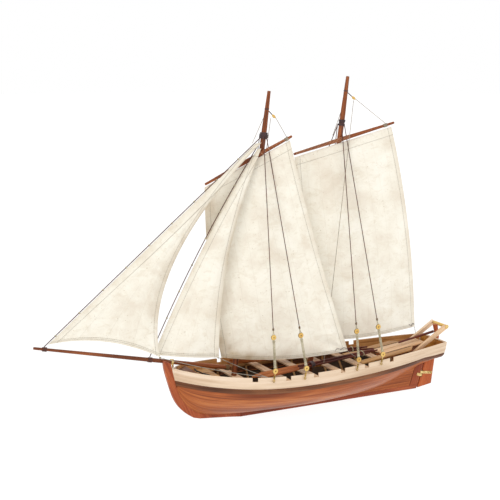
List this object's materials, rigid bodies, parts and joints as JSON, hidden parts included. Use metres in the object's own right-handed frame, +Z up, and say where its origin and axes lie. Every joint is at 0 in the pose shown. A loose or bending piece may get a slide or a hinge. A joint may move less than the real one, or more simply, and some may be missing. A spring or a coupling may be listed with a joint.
{
  "type": "model sailing ship",
  "caption": "Wooden display model of a two-masted ship's boat with lugsails, headsails, full rigging, a swinging rudder and a stern davit roller.",
  "frame": {"origin": "on the keel's flat underside, on the centreline, amidships", "axes": "+X towards the bow, +Y to port, +Z up"},
  "size_m": [0.6506, 0.1424, 0.4803],
  "materials": {
    "light_wood": "satin maple",
    "red_wood": "satin reddish hardwood",
    "brown_wood": "satin walnut",
    "spar_wood": "satin walnut dowel",
    "boxwood": "polished boxwood",
    "oar_wood": "dark reddish hardwood",
    "brass": "satin brass",
    "dark_rope": "dark waxed thread",
    "pale_rope": "natural cotton thread",
    "sailcloth": "unbleached cotton cloth",
    "blackened_iron": "blackened"
  },
  "bodies": {
    "hull": {"keel": "red_wood", "stem": "red_wood", "sternpost": "red_wood", "keelson": "red_wood", "ribs": "light_wood", "bottom_planking_port": "red_wood", "bottom_planking_starboard": "red_wood", "wale_port": "brown_wood", "wale_starboard": "brown_wood", "sheer_strake_port": "light_wood", "sheer_strake_starboard": "light_wood", "transom": "red_wood", "breasthook": "brown_wood", "risers": "light_wood", "bottom_boards": "light_wood", "bow_platform": "light_wood", "thwarts": "light_wood", "mast_partner": "light_wood", "stern_floor": "light_wood", "mast_steps": "brown_wood", "foremast": "spar_wood", "mainmast": "spar_wood", "bowsprit": "spar_wood", "gammon_iron": "brass", "heel_lashing": "pale_rope", "fore_yard": "spar_wood", "main_yard": "spar_wood", "mast_collars": "dark_rope", "halyard_blocks": "boxwood", "deadeyes_port": "boxwood", "deadeyes_starboard": "boxwood", "chain_eyes": "brass", "lanyards": "pale_rope", "shrouds_port": "dark_rope", "shrouds_starboard": "dark_rope", "stays": "dark_rope", "halyards": "pale_rope", "sheets": "pale_rope", "sail_hanks": "brass", "jib": "sailcloth", "staysail": "sailcloth", "foresail": "sailcloth", "mainsail": "sailcloth", "gudgeons": "brass", "davit_arms": "light_wood", "davit_axle": "brass", "anchor": "blackened_iron", "oars_port": "oar_wood", "oars_starboard": "oar_wood", "oar_lashings": "dark_rope"},
    "rudder": {"rudder": "red_wood", "pintles": "brass", "tiller": "brown_wood"},
    "roller": {"davit_roller": "boxwood"}
  },
  "joints": [
    {"name": "rudder_swing", "type": "hinge", "parent": "hull", "child": "rudder", "pos_m": [-0.1944, 0, 0], "axis": [-0.2987, 0, 0.9543], "range_deg": [-22, 22]},
    {"name": "davit_roller_spin", "type": "hinge", "parent": "hull", "child": "roller", "pos_m": [-0.235, 0, 0.0966], "axis": [0, 1, 0], "continuous": true}
  ]
}
